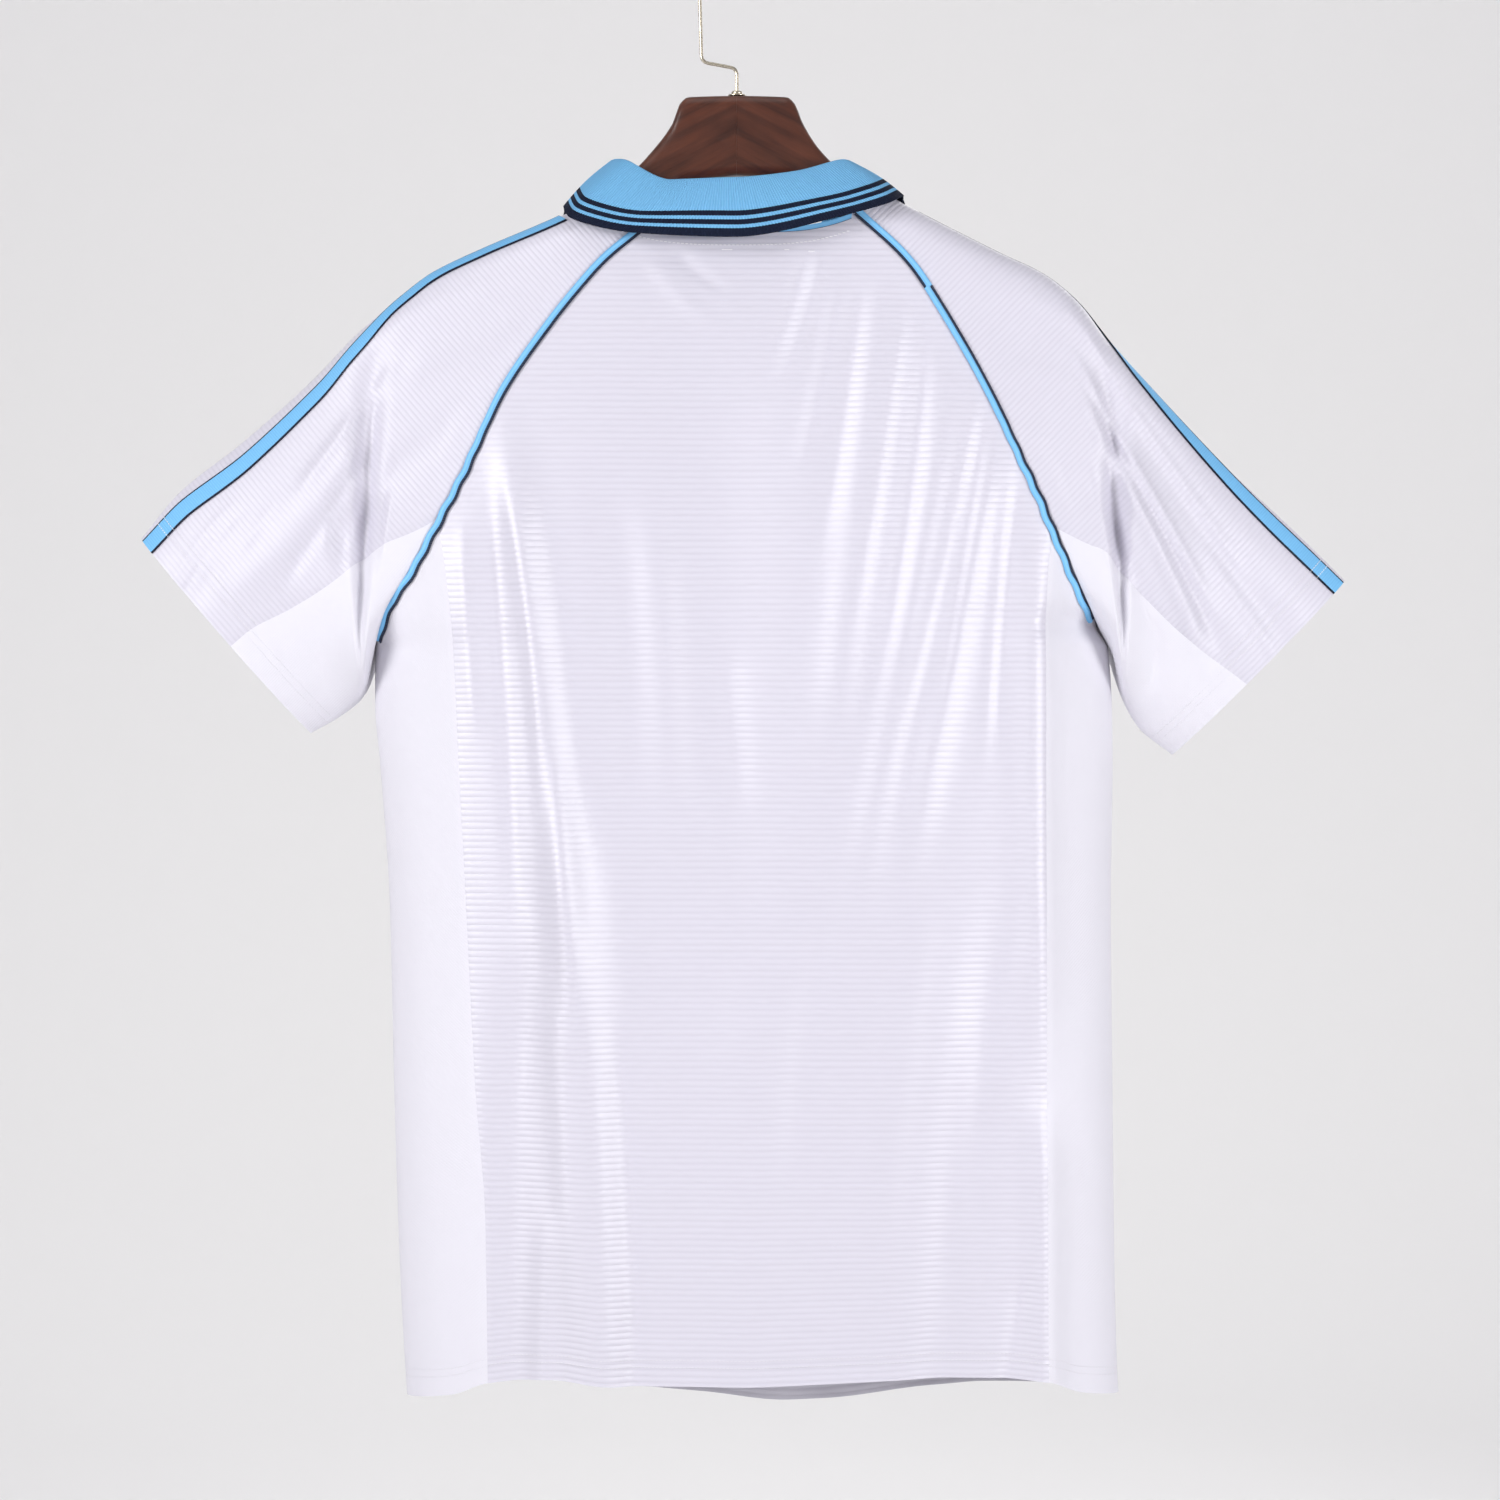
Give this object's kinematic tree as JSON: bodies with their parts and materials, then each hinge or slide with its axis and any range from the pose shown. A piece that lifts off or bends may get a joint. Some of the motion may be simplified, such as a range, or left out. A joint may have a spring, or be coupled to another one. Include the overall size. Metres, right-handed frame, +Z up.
{
  "type": "football jersey on a wooden hanger",
  "caption": "Short-sleeved raglan football jersey with a fold-down rib collar and sleeve tapes, hanging on a wooden hanger with a wire hook.",
  "frame": {"origin": "the inner crown of the hanger's hook, where it rests on a rail or peg", "axes": "+Z up; +X to the wearer's right, which is the right of the picture; -Y is the pictured side, the wearer's back; +Y is the wearer's front, towards the wall"},
  "size_m": [0.7456, 0.1092, 0.9059],
  "materials": {
    "ribbed_knit": "satin white polyester knit with fine raised ribs across it",
    "plain_knit": "matt white fine mesh knit",
    "rib_knit": "matt light blue rib knit with navy stripes",
    "piping": "light blue folded piping with a navy covering stitch",
    "sleeve_tape": "light blue woven tape with thin navy edges",
    "hanger_wood": "dark reddish brown, satin lacquer",
    "hanger_metal": "pale champagne plated wire"
  },
  "bodies": {
    "root": {"back_panel": "ribbed_knit", "front_panel": "ribbed_knit", "side_panel_left": "plain_knit", "sleeve_left": "ribbed_knit", "under_sleeve_left": "plain_knit", "sleeve_tape_left": "sleeve_tape", "raglan_piping_back_left": "piping", "raglan_piping_front_left": "piping", "side_panel_right": "plain_knit", "sleeve_right": "ribbed_knit", "under_sleeve_right": "plain_knit", "sleeve_tape_right": "sleeve_tape", "raglan_piping_back_right": "piping", "raglan_piping_front_right": "piping", "neck_tape": "piping", "collar": "rib_knit", "hanger_board_left": "hanger_wood", "hanger_board_right": "hanger_wood", "hanger_nut": "hanger_metal", "hanger_hook": "hanger_metal"}
  },
  "joints": []
}
